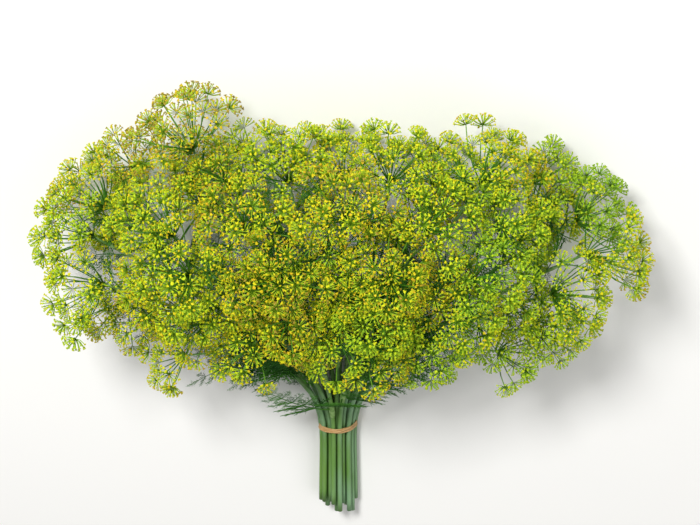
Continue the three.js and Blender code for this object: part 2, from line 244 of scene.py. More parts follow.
def grow(bm, line, widths, sides, mark=None):
    """Extrudes a ring along a line into a closed stalk. Mark is a layer that takes the share of the way."""
    spots = places(line, widths)
    ring = bmesh.ops.create_circle(bm, cap_ends=True, radius=1, segments=sides, matrix=spots[0])["verts"]
    rings = [ring]
    end = ring[0].link_faces[0]
    for before, after in zip(spots, spots[1:]):
        made = bmesh.ops.extrude_face_region(bm, geom=[end])["geom"]
        if before is not spots[0]:
            bmesh.ops.delete(bm, geom=[end], context="FACES_ONLY")
        ring = [v for v in made if isinstance(v, bmesh.types.BMVert)]
        end = next(f for f in made if isinstance(f, bmesh.types.BMFace))
        bmesh.ops.transform(bm, matrix=after @ before.inverted(), verts=ring)
        rings.append(ring)
    if mark is not None:
        for i, ring in enumerate(rings):
            for vert in ring:
                vert[mark] = i / (len(rings) - 1)
    return rings


def add_piece(name, bm, materials, slot, *nodes):
    """Makes a piece of the mesh, which rides on the bunch's one body and stands for the CAD nodes."""
    bmesh.ops.recalc_face_normals(bm, faces=bm.faces)
    mesh = bpy.data.meshes.new(name)
    bm.to_mesh(mesh)
    bm.free()
    for material in materials:
        mesh.materials.append(material)
    piece = bpy.data.objects.new(name, mesh)
    bpy.context.scene.collection.objects.link(piece)
    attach(piece, "root")
    if nodes:
        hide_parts(*nodes)


def srgb(code):
    """An sRGB hex colour as the linear colour that a node takes."""
    parts = [int(code[i:i + 2], 16) / 255 for i in (1, 3, 5)]
    return [c / 12.92 if c <= 0.04045 else ((c + 0.055) / 1.055) ** 2.4 for c in parts] + [1]


def add(tree, kind, links=None, stops=(), **settings):
    """Adds a node with its settings and a ramp's stops. Links maps an input to a socket or a plain value."""
    node = tree.nodes.new(kind)
    for name, value in settings.items():
        setattr(node, name, value)
    for socket, value in (links or {}).items():
        if isinstance(value, bpy.types.NodeSocket):
            tree.links.new(value, node.inputs[socket])
        else:
            node.inputs[socket].default_value = value
    if stops:
        bar = node.color_ramp.elements
        for _ in stops[len(bar):]:
            bar.new(0.5)
        for element, (at, code) in zip(bar, stops):
            element.position = at
            element.color = srgb(code)
    return node


def surface(name, **sockets):
    """A new material, its node tree and its Principled shader, with plain values on that shader's sockets."""
    material = bpy.data.materials.new(name)
    material.use_nodes = True
    tree = material.node_tree
    shader = tree.nodes["Principled BSDF"]
    for socket, value in sockets.items():
        shader.inputs[socket.replace("_", " ")].default_value = value
    return material, tree, shader


GRAIN_STRENGTH = 0.25
# Most of a noise lies between these two values.
NOISE_LOW = 0.35
NOISE_HIGH = 0.65
# The sockets of a colour Mix node: how much of the second colour, and the two colours.
BLEND, FIRST, SECOND = 0, 6, 7


def grained(tree, shader, size, roughness, rise):
    """Fine grain of a real size, which lifts a surface a little and varies how rough it is."""
    where = add(tree, "ShaderNodeTexCoord").outputs["Object"]
    grain = add(tree, "ShaderNodeTexNoise", {0: where, "Scale": 1 / size, "Detail": 2}).outputs["Fac"]
    rough = add(tree, "ShaderNodeMapRange", {
        "Value": grain, "From Min": NOISE_LOW, "From Max": NOISE_HIGH,
        "To Min": roughness[0], "To Max": roughness[1]})
    bump = add(tree, "ShaderNodeBump", {"Strength": GRAIN_STRENGTH, "Distance": rise, "Height": grain})
    tree.links.new(rough.outputs[0], shader.inputs["Roughness"])
    tree.links.new(bump.outputs[0], shader.inputs["Normal"])


# Living epidermis of a fresh dill stem. Its ribs are darker than the grooves between them, and the wax bloom
# dulls it in soft blue-grey patches a few centimetres across, drawn out along the stem. Its cells are a tenth
# of a millimetre wide, and their grain is drawn ten times as coarse, so that it shows.
BLOOM_PATCH = 36 * MM
GREEN_PATCH = 22 * MM
DRAWN_OUT = (1, 0.3, 1)
BLOOM_FROM = 0.42
BLOOM_FULL = 0.62
MOST_BLOOM = 0.75
SKIN_GRAIN = 1.1 * MM
stem_skin, tree, shader = surface("fresh ribbed dill stem skin", IOR=1.4)
grained(tree, shader, SKIN_GRAIN, (0.42, 0.58), 0.2 * MM)
where = add(tree, "ShaderNodeTexCoord").outputs["Object"]
along = add(tree, "ShaderNodeMapping", {0: where, "Scale": DRAWN_OUT}).outputs[0]
bloom = add(tree, "ShaderNodeTexNoise", {0: along, "Scale": 1 / BLOOM_PATCH, "Detail": 4}).outputs["Fac"]
age = add(tree, "ShaderNodeTexNoise", {0: along, "Scale": 1 / GREEN_PATCH, "Detail": 1}).outputs["Fac"]
rib = add(tree, "ShaderNodeAttribute", attribute_name="rib").outputs["Fac"]
young = add(tree, "ShaderNodeValToRGB", {0: rib}, [(0, "#86a848"), (1, "#4c7a2a")]).outputs[0]
old = add(tree, "ShaderNodeValToRGB", {0: rib}, [(0, "#6c9a54"), (1, "#386a30")]).outputs[0]
bare = add(tree, "ShaderNodeMix", {BLEND: age, FIRST: young, SECOND: old}, data_type="RGBA").outputs[2]
waxed = add(tree, "ShaderNodeValToRGB", {0: rib}, [(0, "#9dbd9a"), (1, "#5f8c66")]).outputs[0]
waxiness = add(tree, "ShaderNodeMapRange", {
    "Value": bloom, "From Min": BLOOM_FROM, "From Max": BLOOM_FULL,
    "To Min": 0, "To Max": MOST_BLOOM}).outputs[0]
skin = add(tree, "ShaderNodeMix", {BLEND: waxiness, FIRST: bare, SECOND: waxed}, data_type="RGBA").outputs[2]
tree.links.new(skin, shader.inputs["Base Color"])

# Cut flesh of the stem, which a knife left smooth: moist, shiny and pale, with darker bundles of fibres half
# a millimetre apart.
FIBRE = 0.55 * MM
stem_flesh, tree, shader = surface("moist cut dill stem flesh", IOR=1.38)
grained(tree, shader, FIBRE, (0.28, 0.42), 0.2 * MM)
where = add(tree, "ShaderNodeTexCoord").outputs["Object"]
fibre = add(tree, "ShaderNodeTexNoise", {0: where, "Scale": 1 / FIBRE, "Detail": 3}).outputs["Fac"]
flesh = add(tree, "ShaderNodeValToRGB", {0: fibre}, [(0.35, "#b9cf8e"), (0.7, "#e6eccb")]).outputs[0]
tree.links.new(flesh, shader.inputs["Base Color"])


def stem_width(share):
    """A stem's radius at a share of its length from the cut end."""
    return STEM_TIP + (STEM_FOOT - STEM_TIP) * (1 - share ** STEM_TAPER)


def hollow_out(bm, foot, inward):
    """Sinks the pith's hollow into a cut end, and gives the cut the flesh material."""
    skin = set(bm.faces) - {foot}
    bmesh.ops.inset_region(bm, faces=[foot], thickness=HOLLOW_WALL, use_even_offset=True)
    hollow = bmesh.ops.extrude_face_region(bm, geom=[foot])["geom"]
    bmesh.ops.delete(bm, geom=[foot], context="FACES_ONLY")
    bmesh.ops.translate(bm, vec=inward, verts=[v for v in hollow if isinstance(v, bmesh.types.BMVert)])
    for face in set(bm.faces) - skin:
        face.material_index = 1


for stem in STEM_NODES:
    bm = bmesh.new()
    rib = bm.verts.layers.float.new("rib")
    line = evened(stem_lines[stem], STEM_POINTS)
    rings = grow(bm, line, [stem_width(i / (STEM_POINTS - 1)) for i in range(STEM_POINTS)], STEM_SIDES)
    for ring, spot in zip(rings, line):
        for vert in ring[::2]:
            vert.co = vert.co.lerp(spot, RIB_DEPTH)
        for vert in ring[1::2]:
            vert[rib] = 1
    foot = next(f for f in rings[0][0].link_faces if len(f.verts) == STEM_SIDES)
    hollow_out(bm, foot, (line[1] - line[0]).normalized() * HOLLOW_DEPTH)
    for carrier, branch in branch_lines:
        if carrier == stem:
            widths = tapered(BRANCH_FOOT, BRANCH_TIP, BRANCH_POINTS)
            grow(bm, evened(branch, BRANCH_POINTS), widths, BRANCH_SIDES)
    for face in bm.faces:
        face.smooth = face.material_index == 0
    add_piece(stem.replace("stem", "stalk"), bm, [stem_skin, stem_flesh], "stem_green", stem)

# ---- Leaves
# Feathery dill leaves that grow from the stems. Each has a thin midrib with pairs of leaflets, which fork
# again and again into soft threads about a millimetre wide. They are a darker green than the stems.
MIDRIB_FOOT = 1.1 * MM
MIDRIB_TIP = 0.45 * MM
MIDRIB_POINTS = 10
MIDRIB_SIDES = 5
NEEDLE_LEAST = 4.5 * MM
ZONE_SIZE = 7 * MM
LEAST_ZONES = 3
WIDEST_LEAF_STALK = 2.2 * MM
SHORT_OF_ZONE = 6 * MM
# A leaflet is shaped at a length of 1, and these sizes are for that length: the threads' half width, the
# spine's bow, the places, lengths and angles of the pairs of threads, and where and how each thread forks.
LEAFLETS = 6
THREAD = 0.015
THREAD_SIDES = 3
SPINE_BOW = 0.05
SPINE_RISE = 0.6
SPINE_WIDTHS = (1.3, 1, 0.4)
PAIRS = 6
PAIRS_FROM = 0.12
PAIRS_OVER = 0.8
PAIR_STRAYS = 0.04
PAIR_ANGLE = (32, 48)
PAIR_LENGTH = 0.46
PAIR_SHORTENS = 0.36
PAIR_VARIES = (0.8, 1.2)
PAIR_LIFT = 0.35
FIRST_THREAD = 1.05
FORK_AT = 0.45
FORK_TURNS = (-27, 30)
FORK_STRAYS = 6
FORK_LIFT = 0.3
FORK_LENGTH = (0.45, 0.7)
FORK_WIDTH = 0.8
# The upper leaves: how far up the stem each stands, its length in mm, and its zones of leaflets.
UPPER_LEAVES = [(0.45, 118, 5), (0.58, 108, 5), (0.7, 98, 5), (0.82, 88, 5), (0.91, 78, 5), (0.96, 66, 4)]
HIGHEST_LEAF = 0.96
PLACE_VARIES = (-0.04, 0.03)
SIZE_VARIES = (0.85, 1.15)
TURN_VARIES = 0.7
# An upper leaf arches: its way along the stem and out from it, each for a length of 1, in t and in t squared.
ARCH_ALONG = (0.95, -0.35)
ARCH_OUT = (0.25, 0.5)
DROOP = 0.1
TWIST = 0.35
ZONES_FROM = 0.34
ZONES_OVER = 0.6
ZONE_REACH = 0.44
REACH_SHORTENS = 0.26
LEAFLET_ANGLE = (48, 66)
LEAFLET_VARIES = (0.85, 1.1)
UPPER_MIDRIB = 0.75
FLOOR_GAP = 6 * MM
# The sheath's steps along the stem, as shares of its length, and its width there in stem widths.
SHEATH = [(-0.012, 1.0), (-0.006, 1.16), (0.004, 1.32), (0.022, 1.36), (0.034, 1.1)]
SHEATH_SIDES = 12
INSIDE_BOX = 0.3 * MM
chance = random.Random(3)

# Soft living threads of leaf, dull and deep green. The green drifts over a few centimetres, from leaf to leaf
# and within a leaf.
LEAF_PATCH = 33 * MM
leaf_skin, tree, shader = surface("soft dill leaf threads", IOR=1.4, Specular_IOR_Level=0.25)
grained(tree, shader, SKIN_GRAIN, (0.57, 0.73), 0.15 * MM)
where = add(tree, "ShaderNodeTexCoord").outputs["Object"]
patch = add(tree, "ShaderNodeTexNoise", {0: where, "Scale": 1 / LEAF_PATCH, "Detail": 2}).outputs["Fac"]
green = add(tree, "ShaderNodeValToRGB", {0: patch}, [(0.35, "#245818"), (0.65, "#4c8628")]).outputs[0]
tree.links.new(green, shader.inputs["Base Color"])

# The membrane of a leaf's sheath: thinner and paler than the stem under it, mottled every few millimetres
# where its veins show through.
VEIN_PATCH = 3.8 * MM
sheath_skin, tree, shader = surface("pale leaf sheath membrane", IOR=1.4, Specular_IOR_Level=0.3)
grained(tree, shader, SKIN_GRAIN, (0.37, 0.53), 0.2 * MM)
where = add(tree, "ShaderNodeTexCoord").outputs["Object"]
veins = add(tree, "ShaderNodeTexNoise", {0: where, "Scale": 1 / VEIN_PATCH, "Detail": 2}).outputs["Fac"]
mottled = add(tree, "ShaderNodeValToRGB", {0: veins}, [(0.35, "#6f9a4c"), (0.7, "#9dbb78")]).outputs[0]
tree.links.new(mottled, shader.inputs["Base Color"])


def spike(bm, root, tip, width):
    """A three-sided thread that narrows to a point."""
    way = tip - root
    spot = Matrix.LocRotScale((root + tip) / 2, UP.rotation_difference(way), Vector((1, 1, 1)))
    made = bmesh.ops.create_cone(
        bm, cap_ends=True, segments=THREAD_SIDES, radius1=width, radius2=0, depth=way.length, matrix=spot)
    return made["verts"]


def leaflet_mesh(number):
    """A leaflet that reaches 1 along Z, its forked threads spread in the XZ plane."""
    bm = bmesh.new()
    bow = chance.uniform(-SPINE_BOW, SPINE_BOW)
    spine = [Vector((0, 0, 0)), Vector((bow, bow * SPINE_RISE, 0.5)), Vector((0, 0, 1))]
    grow(bm, spine, [THREAD * wide for wide in SPINE_WIDTHS], THREAD_SIDES)
    for pair in range(PAIRS):
        height = PAIRS_FROM + PAIRS_OVER * pair / PAIRS
        for hand in (-1, 1):
            strays = chance.uniform(-PAIR_STRAYS, PAIR_STRAYS)
            root = Vector((bow * (1 - abs(2 * height - 1)), 0, height + strays))
            angle = math.radians(chance.uniform(*PAIR_ANGLE)) * hand
            length = (PAIR_LENGTH - PAIR_SHORTENS * height) * chance.uniform(*PAIR_VARIES)
            lift = chance.uniform(-PAIR_LIFT, PAIR_LIFT)
            way = Vector((math.sin(angle), lift / 2, math.cos(angle))).normalized()
            spike(bm, root, root + way * length * FIRST_THREAD, THREAD)
            fork = root + way * length * FORK_AT
            for turn in FORK_TURNS:
                spread = angle + math.radians(turn + chance.uniform(-FORK_STRAYS, FORK_STRAYS))
                reach = length * chance.uniform(*FORK_LENGTH)
                rise = lift + chance.uniform(-FORK_LIFT, FORK_LIFT)
                tip = fork + Vector((math.sin(spread), rise, math.cos(spread))) * reach
                spike(bm, fork, tip, THREAD * FORK_WIDTH)
    mesh = bpy.data.meshes.new(f"leaflet_{number}")
    bm.to_mesh(mesh)
    bm.free()
    return mesh


leaflets = [leaflet_mesh(n) for n in range(LEAFLETS)]


def put(bm, mesh, spot):
    """Adds a copy of a mesh, placed by a matrix, and gives its vertices."""
    start = len(bm.verts)
    bm.from_mesh(mesh)
    bm.verts.ensure_lookup_table()
    made = bm.verts[start:]
    bmesh.ops.transform(bm, matrix=spot, verts=made)
    return made


def aimed(root, end, across):
    """A placing matrix whose Z reaches from a root to an end, and whose X is as near to across as can be."""
    way = end - root
    z = way.normalized()
    y = z.cross(across).normalized()
    x = y.cross(z)
    return Matrix.Translation(root) @ Matrix((x, y, z)).transposed().to_4x4() @ Matrix.Scale(way.length, 4)


def read_leaf(stem):
    """A leaf's zones, nearest the stem first: each one's middle, and the ends of its leaflets."""
    tips = [v for v in shapes[stem].verts
            if len(v.link_edges) == 3 and min(e.calc_length() for e in v.link_edges) > NEEDLE_LEAST]
    zones = []
    for tip in tips:
        root = middle_of([e.other_vert(tip).co for e in tip.link_edges])
        zone = next((z for z in zones if (middle_of(z[0]) - root).length < ZONE_SIZE), None)
        if zone is None:
            zone = ([], [])
            zones.append(zone)
        zone[0].append(root)
        zone[1].append(tip.co.copy())
    found = [(middle_of(roots), ends) for roots, ends in zones]
    return sorted(found, key=lambda z: -sum((end - z[0]).length for end in z[1]) / len(z[1]))


def grow_leaf(bm, line, zones, across, size=1):
    """A leaf: its midrib, a leaflet to each end of each zone, and one at its tip."""
    line = evened(line, MIDRIB_POINTS)
    widths = [size * width for width in tapered(MIDRIB_FOOT, MIDRIB_TIP, MIDRIB_POINTS)]
    grow(bm, line, widths, MIDRIB_SIDES)
    for root, ends in zones:
        for end in ends:
            put(bm, chance.choice(leaflets), aimed(root, end, across))
    heading = (line[-1] - line[-2]).normalized()
    last = max((end - zones[-1][0]).length for end in zones[-1][1])
    put(bm, chance.choice(leaflets), aimed(line[-1], line[-1] + heading * last, across))


def along_line(line, share):
    """The point at a share of a line's steps, and the line's way just there."""
    at = share * (len(line) - 1)
    after = min(int(at) + 1, len(line) - 1)
    return line[int(at)].lerp(line[after], at % 1), (line[after] - line[int(at)]).normalized()


def sheath(bm, stem_line, share):
    """The sleeve of a leaf's foot, which clasps the stem at a node and swells it a little."""
    line = [along_line(stem_line, share + step)[0] for step, _ in SHEATH]
    widths = [stem_width(share + step) * wide for step, wide in SHEATH]
    rings = grow(bm, line, widths, SHEATH_SIDES)
    for face in {f for ring in rings for v in ring for f in v.link_faces}:
        face.material_index = 1


def upper_leaf(bm, stem_line, share, length, count, turn):
    """A smaller leaf high on a stem: it leaves the stem at a slant and arches away from it."""
    at = int(share * (len(stem_line) - 1))
    root = along_line(stem_line, share)[0]
    heading = (stem_line[min(at + 1, len(stem_line) - 1)] - stem_line[at - 1]).normalized()
    side = Quaternion(heading, turn) @ heading.cross(UP).normalized()
    line = []
    for k in range(MIDRIB_POINTS):
        t = k / (MIDRIB_POINTS - 1)
        along = ARCH_ALONG[0] * t + ARCH_ALONG[1] * t * t
        out = ARCH_OUT[0] * t + ARCH_OUT[1] * t * t
        point = root + heading * length * along + side * length * out
        # Over its first third, the leaf may be as low as its root.
        lowest = FLOOR_GAP * min(1, t * 3) + root.z * max(0, 1 - t * 3)
        point.z = max(point.z - length * DROOP * t * t, lowest)
        line.append(point)
    across = heading.cross(side)
    across = (across + Vector((chance.uniform(-1, 1), chance.uniform(-1, 1), 0)) * TWIST).normalized()
    zones = []
    for k in range(count):
        spot, way = along_line(line, ZONES_FROM + ZONES_OVER * k / (count - 1))
        reach = length * (ZONE_REACH - REACH_SHORTENS * k / (count - 1))
        ends = []
        for hand in (-1, 1):
            angle = math.radians(chance.uniform(*LEAFLET_ANGLE))
            outwards = way * math.cos(angle) + across * hand * math.sin(angle)
            end = spot + outwards * reach * chance.uniform(*LEAFLET_VARIES)
            end.z = max(end.z, FLOOR_GAP)
            ends.append(end)
        zones.append((spot, ends))
    grow_leaf(bm, line, zones, across, UPPER_MIDRIB)


for stem in STEM_NODES:
    bm = bmesh.new()
    stem_line = evened(stem_lines[stem], STEM_POINTS)
    zones = read_leaf(stem)
    if len(zones) >= LEAST_ZONES:
        way = (zones[0][0] - zones[1][0]).normalized()
        root = trace(shapes[stem], zones[0][0] + way * SHORT_OF_ZONE, way, WIDEST_LEAF_STALK)
        foot = min(stem_lines[stem], key=lambda p: (p - root[-1]).length)
        ends = zones[0][1]
        across = max((a - b for a in ends for b in ends), key=lambda d: d.length)
        grow_leaf(bm, [foot] + root[::-1] + [z[0] for z in zones], zones, across)
        nearest = min(range(STEM_POINTS), key=lambda i: (stem_line[i] - foot).length)
        sheath(bm, stem_line, nearest / (STEM_POINTS - 1))
    for share, length, count in UPPER_LEAVES:
        turn = chance.choice((0, math.pi)) + chance.uniform(-TURN_VARIES, TURN_VARIES)
        length = length * MM * chance.uniform(*SIZE_VARIES)
        share = min(share + chance.uniform(*PLACE_VARIES), HIGHEST_LEAF)
        upper_leaf(bm, stem_line, share, length, count, turn)
        sheath(bm, stem_line, share)
    for vert in bm.verts:
        for i in range(3):
            vert.co[i] = min(max(vert.co[i], cad_box[0][i] + INSIDE_BOX), cad_box[1][i] - INSIDE_BOX)
    for face in bm.faces:
        face.smooth = face.material_index == 1
    add_piece(stem.replace("stem", "leaves"), bm, [leaf_skin, sheath_skin], "stem_green", stem)

# ---- Umbels: rays
# The flat heads of the dill. Slender rays spring from one knot at the stem's tip, bow outwards and end
# together, each under an umbellet. Young heads stand between the large ones, on branches from lower down.
RAY_FOOT = 0.85 * MM
RAY_TIP = 0.6 * MM
RAY_SIDES = 5
RAY_STEPS = (0.02, 0.35, 0.7, 1)
RAY_BOW = 0.045
BOW_VARIES = (0.2, 1.6)
KNOT = 2.6 * MM
OPENING = math.radians(60)
ABOVE_FLOOR = 0.25 * MM
GOLDEN = math.pi * (3 - math.sqrt(5))
# More umbellets fill each head: how many places are tried, and how far each reaches and keeps away.
FILL_DIRECTIONS = 60
FILL_LENGTH = (0.74, 1.0)
FILL_REACH = 15.5 * MM
FILL_LOWEST = 0.6
FILL_APART = 18.5 * MM
FILL_OFF_STALK = 9 * MM
# The young heads: how many, their size, their rays, and how far they keep from what is there.
YOUNG_HEADS = 42
YOUNG_TRIES = 200
YOUNG_CHOICE = 12
YOUNG_LENGTH = (38 * MM, 56 * MM)
YOUNG_RAYS = 9
YOUNG_DIRECTIONS = 26
YOUNG_APART = 17 * MM
YOUNG_OFF_STALK = 6 * MM
YOUNG_OFF_HUB = 28 * MM
YOUNG_LOWEST = 20 * MM
YOUNG_BETWEEN = (0.25, 0.75)
YOUNG_SHIFT = ((-25, 25), (-25, 25), (-55, 5))
YOUNG_MIDDLE = 0.8
YOUNG_LEAN = 1.2
ANY_WAY = 6
NEIGHBOURS = 150 * MM
# The young heads stay inside the outline of the large ones, where the fewest umbellets are near.
INSIDE_X = 265 * MM
INSIDE_Y = (25 * MM, 255 * MM)
CROWDED = 38 * MM
# A young head's branch: how far below the head it leaves the stem, its width beside an old branch's, and its
# curve as shares of its span.
YOUNG_ROOT = 45 * MM
YOUNG_BRANCH = 0.8
DEPARTS_AT = 0.35
DEPARTS_UP = 0.12
ARRIVES_OVER = 0.25
YOUNG_BRANCH_POINTS = 9
YOUNG_BRANCH_SIDES = 7
chance = random.Random(7)

# Skin of a ray: a finer, smoother stem skin with no ribs. It is palest where it leaves the knot and where it
# meets its umbellet, and whole heads are lighter or darker than their neighbours.
RAY_PATCH = 55 * MM
ray_skin, tree, shader = surface("smooth green umbel ray", IOR=1.4, Specular_IOR_Level=0.3)
grained(tree, shader, SKIN_GRAIN, (0.42, 0.58), 0.15 * MM)
where = add(tree, "ShaderNodeTexCoord").outputs["Object"]
share = add(tree, "ShaderNodeAttribute", attribute_name="share").outputs["Fac"]
patch = add(tree, "ShaderNodeTexNoise", {0: where, "Scale": 1 / RAY_PATCH, "Detail": 2}).outputs["Fac"]
YOUNG_GREENS = [(0, "#78a830"), (0.3, "#478218"), (1, "#7ca824")]
OLD_GREENS = [(0, "#5c9030"), (0.3, "#2a6616"), (1, "#56881c")]
young = add(tree, "ShaderNodeValToRGB", {0: share}, YOUNG_GREENS).outputs[0]
old = add(tree, "ShaderNodeValToRGB", {0: share}, OLD_GREENS).outputs[0]
mixed = add(tree, "ShaderNodeMix", {BLEND: patch, FIRST: young, SECOND: old}, data_type="RGBA").outputs[2]
tree.links.new(mixed, shader.inputs["Base Color"])


def direction(polar, turn):
    """A unit vector at an angle from Z."""
    return Vector((math.sin(polar) * math.cos(turn), math.sin(polar) * math.sin(turn), math.cos(polar)))


def keep_above_floor(verts, least=ABOVE_FLOOR):
    """What would sink into the surface that the bunch lies on is pressed flat on it."""
    for vert in verts:
        vert.co.z = max(vert.co.z, least)


def ray_line(hub, end, axis, bow):
    """A ray from the knot to its umbellet, bowed away from the umbel's axis."""
    way = end - hub
    out = way - axis * way.dot(axis)
    out = out - way * (out.dot(way) / way.length_squared)
    lift = out.normalized() * way.length * bow if out.length > MM else Vector()
    return [hub.lerp(end, t) + lift * (4 * t * (1 - t)) for t in RAY_STEPS]


stalk_points = [p for line in list(stem_lines.values()) + [b for _, b in branch_lines] for p in line]
stalk_tree = kdtree.KDTree(len(stalk_points))
for k, point in enumerate(stalk_points):
    stalk_tree.insert(point, k)
stalk_tree.balance()
ends = [end for _, rays in umbels.values() for end, _ in rays]
low, high = cad_box


def free_places(hub, axis, length, directions, apart):
    """Where further umbellets could end round a hub, clear of every other umbellet and of the stalks."""
    found = []
    turn = UP.rotation_difference(axis)
    for k in range(directions):
        way = turn @ direction(OPENING * math.sqrt((k + 0.5) / directions), k * GOLDEN)
        end = hub + way * length * chance.uniform(*FILL_LENGTH)
        inside = all(low[i] + FILL_REACH < end[i] < high[i] - FILL_REACH for i in range(2))
        if not inside or not FILL_REACH * FILL_LOWEST < end.z < high.z - FILL_REACH:
            continue
        if stalk_tree.find(end)[2] < FILL_OFF_STALK:
            continue
        if all((end - other).length > apart for other in ends + found):
            found.append(end)
    return found


axes = {}
fill = {}
for node, (hub, rays) in umbels.items():
    axes[node] = middle_of([(end - hub).normalized() for end, _ in rays]).normalized()
    length = sum((end - hub).length for end, _ in rays) / len(rays)
    fill[node] = free_places(hub, axes[node], length, FILL_DIRECTIONS, FILL_APART)
    ends += fill[node]

hubs = [hub for hub, _ in umbels.values()]
names = list(umbels)


def young_head():
    """A hub, an axis and a ray length for a young head, part of the way from one large head to a near one."""
    first = chance.randrange(len(hubs))
    near = [i for i in range(len(hubs)) if i != first and (hubs[i] - hubs[first]).length < NEIGHBOURS]
    second = chance.choice(near or [first])
    share = chance.uniform(*YOUNG_BETWEEN)
    hub = hubs[first].lerp(hubs[second], share)
    hub += Vector([chance.uniform(*shift) for shift in YOUNG_SHIFT]) * MM
    hub.z = max(hub.z, YOUNG_LOWEST)
    lean = direction(chance.uniform(0, YOUNG_LEAN), chance.uniform(0, ANY_WAY))
    axis = axes[names[first]].lerp(axes[names[second]], share) + lean
    return hub, axis.normalized(), chance.uniform(*YOUNG_LENGTH)


def crowding(head):
    """How many umbellets are close to a young head, seen from above, or all of them if it is too far out."""
    hub, axis, length = head
    middle = hub + axis * length * YOUNG_MIDDLE
    if abs(middle.x) > INSIDE_X or not INSIDE_Y[0] < middle.y < INSIDE_Y[1]:
        return len(ends)
    return sum(1 for end in ends if (end - middle).xy.length < CROWDED)


young_heads = []
for _ in range(YOUNG_TRIES):
    if len(young_heads) == YOUNG_HEADS:
        break
    hub, axis, length = min((young_head() for _ in range(YOUNG_CHOICE)), key=crowding)
    nearest = min((hub - other).length for other in hubs + [head[0] for head in young_heads])
    if stalk_tree.find(hub)[2] < YOUNG_OFF_STALK or nearest < YOUNG_OFF_HUB:
        continue
    found = free_places(hub, axis, length, YOUNG_DIRECTIONS, YOUNG_APART)
    if len(found) >= YOUNG_RAYS:
        young_heads.append((hub, axis, found))
        ends += found


def grow_rays(bm, hub, axis, tips):
    """A head's rays, and the knot that they spring from."""
    share = bm.verts.layers.float["share"]
    for end in tips:
        line = ray_line(hub, end, axis, RAY_BOW * chance.uniform(*BOW_VARIES))
        grow(bm, line, tapered(RAY_FOOT, RAY_TIP, len(RAY_STEPS)), RAY_SIDES, share)
    bmesh.ops.create_icosphere(bm, subdivisions=2, radius=KNOT, matrix=Matrix.Translation(hub))


def add_rays(name, bm, *nodes):
    """Finishes a piece of rays."""
    keep_above_floor(bm.verts)
    for face in bm.faces:
        face.smooth = True
    add_piece(name, bm, [ray_skin], "stem_green", *nodes)


for node, (hub, rays) in umbels.items():
    bm = bmesh.new()
    bm.verts.layers.float.new("share")
    grow_rays(bm, hub, axes[node], [end for end, _ in rays] + fill[node])
    add_rays(node + "_rays", bm, node)

bm = bmesh.new()
share = bm.verts.layers.float.new("share")
for hub, axis, tips in young_heads:
    grow_rays(bm, hub, axis, tips)
    root = min((p for p in stalk_points if p.y < hub.y - YOUNG_ROOT), key=lambda p: (p - hub).length)
    tip = hub - axis * KNOT
    span = (tip - root).length
    depart = root.lerp(tip, DEPARTS_AT) + Vector((0, span * DEPARTS_UP, 0))
    arrive = tip - axis * span * ARRIVES_OVER
    line = []
    for k in range(YOUNG_BRANCH_POINTS):
        t = k / (YOUNG_BRANCH_POINTS - 1)
        point = root * (1 - t) ** 3 + depart * 3 * t * (1 - t) ** 2
        point += arrive * 3 * t * t * (1 - t)
        point += tip * t ** 3
        line.append(point)
    widths = tapered(BRANCH_FOOT * YOUNG_BRANCH, BRANCH_TIP * YOUNG_BRANCH, YOUNG_BRANCH_POINTS)
    grow(bm, line, widths, YOUNG_BRANCH_SIDES, share)
add_rays("young_umbels_rays", bm)

# ---- Umbels: umbellets
# Each ray ends in an umbellet: some twenty-five thread-like pedicels that spread into a dome, each with a
# floret about 4 mm wide. Its five petals are rolled in, round a domed yellow disc. The inner buds open last.
PEDICELS = 26
PETALS = 5
BUDS = 5
VARIANTS = 8
YOUNG_PIECES = 3
# Light umbellets have fewer pedicels, and three petals to a floret. They fill the heads and make up the young
# ones.
LIGHT_PEDICELS = 24
LIGHT_PETALS = 3
FILL_VARIES = (0.85, 1.05)
# An umbellet is shaped at a reach of 1, and these sizes are for that reach.
PEDICEL_FOOT = 0.032
PEDICEL_TIP = 0.034
PEDICEL_WIDE = 0.048
PEDICEL_START = 0.03
PEDICEL_LONG = 0.93
PEDICEL_SHORTER = 0.1
INNER_SHORTER = 0.08
SPREAD = math.radians(82)
SPREAD_VARIES = (0.93, 1.05)
SPREAD_TURNS = 0.16
BENT_FROM = 0.6
BEND = 0.2
FLORET = 0.135
FLORET_VARIES = (0.8, 1.15)
FLORET_AGES = 0.45
BUD_SIZE = 0.8
# A floret of size 1: how far it stands past its pedicel's tip, how high and how deep its disc is, how far in
# the notches between the petals reach, and how far petals and notches turn up.
PAST_TIP = 0.35
DISC_HIGH = 0.45
DISC_DEEP = 0.7
NOTCH = 0.55
PETAL_UP = 0.3
NOTCH_UP = 0.05
# How ripe a head is, from green and lime up to gold and brown. The ripest are low in the middle, and each
# metre to the right, to the left past LEFT_FROM or up past TOP_FROM takes some off. The heads at the top left
# are old.
RIPE = 0.14
RIPE_VARIES = (-0.22, 0.2)
LESS_TO_THE_RIGHT = 0.7
LESS_TO_THE_LEFT = 0.35
LEFT_FROM = -150 * MM
LESS_TO_THE_TOP = 0.5
TOP_FROM = 150 * MM
OLD_HEADS = (-120 * MM, 170 * MM)
OLD_RIPE = 0.42

